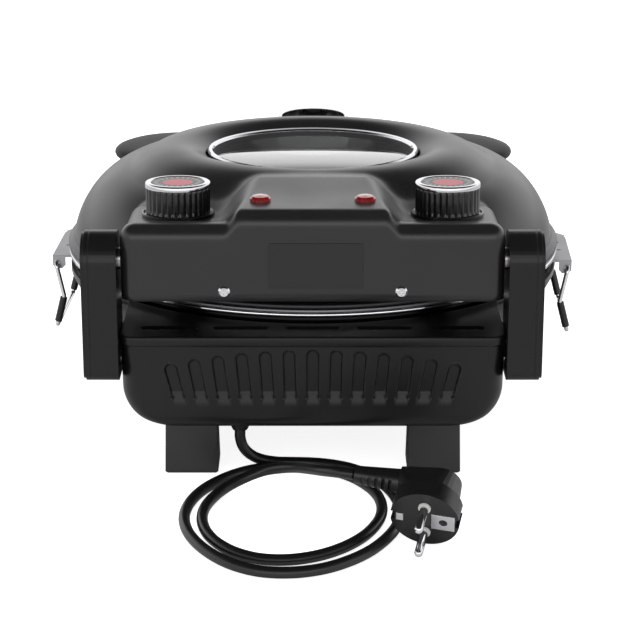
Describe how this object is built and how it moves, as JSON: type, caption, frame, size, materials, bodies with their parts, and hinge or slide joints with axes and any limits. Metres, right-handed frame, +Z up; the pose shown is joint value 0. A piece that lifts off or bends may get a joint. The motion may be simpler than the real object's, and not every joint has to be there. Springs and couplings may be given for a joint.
{
  "type": "pizza_oven",
  "caption": "Countertop electric pizza maker: round black oven with a hinged domed lid, round window, two control knobs, chrome handle, lift-out stone tray with wire bails, mains cord and plug",
  "frame": {"origin": "on the table under the middle of the oven", "axes": "+Z up, -Y towards the user (front, lid handle), +Y to the hinge and knobs, +X to the right of the user"},
  "size_m": [0.3444, 0.5183, 0.1708],
  "materials": {
    "base_black": "matte",
    "lid_grey": "satin",
    "arm_black": "satin",
    "knob_black": "satin",
    "bowl_black": "gloss",
    "chrome": "polished",
    "steel": "satin",
    "zinc": "satin",
    "stone": "matte",
    "glass": "clear",
    "gasket": "matte",
    "lamp_red": "gloss",
    "dial_print": "satin",
    "ceramic": "matte",
    "cord_black": "satin",
    "white": "satin"
  },
  "bodies": {
    "base": {"base_housing": "base_black", "base_bottom_cover": "zinc", "base_screws": "zinc", "front_feet": "base_black", "rear_feet": "base_black", "chamber_bowl": "bowl_black", "lower_element": "steel", "lower_element_clips": "zinc", "terminal_block": "ceramic", "stone_tray": "steel", "tray_rim": "chrome", "pizza_stone": "stone", "tray_bracket_left": "steel", "tray_bracket_right": "steel", "hinge_arm_left": "arm_black", "hinge_arm_right": "arm_black", "arm_cover_left": "arm_black", "arm_cover_right": "arm_black", "arm_screws": "zinc", "hinge_pin_left": "steel", "hinge_pin_right": "steel", "cord_gland": "cord_black", "power_cord": "cord_black", "plug_relief": "cord_black", "plug_body": "cord_black", "plug_pin_collars": "white", "plug_pins": "chrome", "plug_earth_contacts": "chrome"},
    "lid": {"lid_shell": "lid_grey", "lid_liner": "zinc", "upper_element": "steel", "upper_element_clips": "zinc", "lid_rear_cover": "lid_grey", "lid_screws": "zinc", "window_gasket": "gasket", "window_glass": "glass", "window_ring": "chrome", "lamp_lens_left": "lamp_red", "lamp_lens_right": "lamp_red", "wing_left": "lid_grey", "wing_right": "lid_grey", "lid_handle": "chrome", "handle_mount": "knob_black", "knob_cups": "knob_black", "timer_unit": "white", "thermostat_unit": "white"},
    "timer": {"timer_shaft": "steel", "timer_knob": "knob_black", "timer_collar": "chrome", "timer_dial": "dial_print"},
    "thermostat": {"thermostat_shaft": "steel", "thermostat_knob": "knob_black", "thermostat_collar": "chrome", "thermostat_dial": "dial_print"},
    "handle_bail_left": {"bail_left": "chrome", "bail_sleeves_left": "cord_black"},
    "handle_bail_right": {"bail_right": "chrome", "bail_sleeves_right": "cord_black"}
  },
  "joints": [
    {"name": "lid_hinge", "type": "hinge", "parent": "base", "child": "lid", "pos_m": [0, 0.17, 0.133], "axis": [-1, 0, 0], "range_deg": [0, 95]},
    {"name": "timer_turn", "type": "hinge", "parent": "lid", "child": "timer", "pos_m": [-0.0815, 0.131, 0.14937], "axis": [0, 0.0523, -0.9986], "range_deg": [0, 300]},
    {"name": "thermostat_turn", "type": "hinge", "parent": "lid", "child": "thermostat", "pos_m": [0.0815, 0.131, 0.14937], "axis": [0, 0.0523, -0.9986], "range_deg": [0, 270]},
    {"name": "bail_right_swing", "type": "hinge", "parent": "base", "child": "handle_bail_right", "pos_m": [0.1683, -0.00588, 0.0881], "axis": [-0.0349, -0.9994, 0], "range_deg": [-15, 180]},
    {"name": "bail_left_swing", "type": "hinge", "parent": "base", "child": "handle_bail_left", "pos_m": [-0.1683, 0.00588, 0.0881], "axis": [0.0349, 0.9994, 0], "range_deg": [-15, 180]}
  ]
}
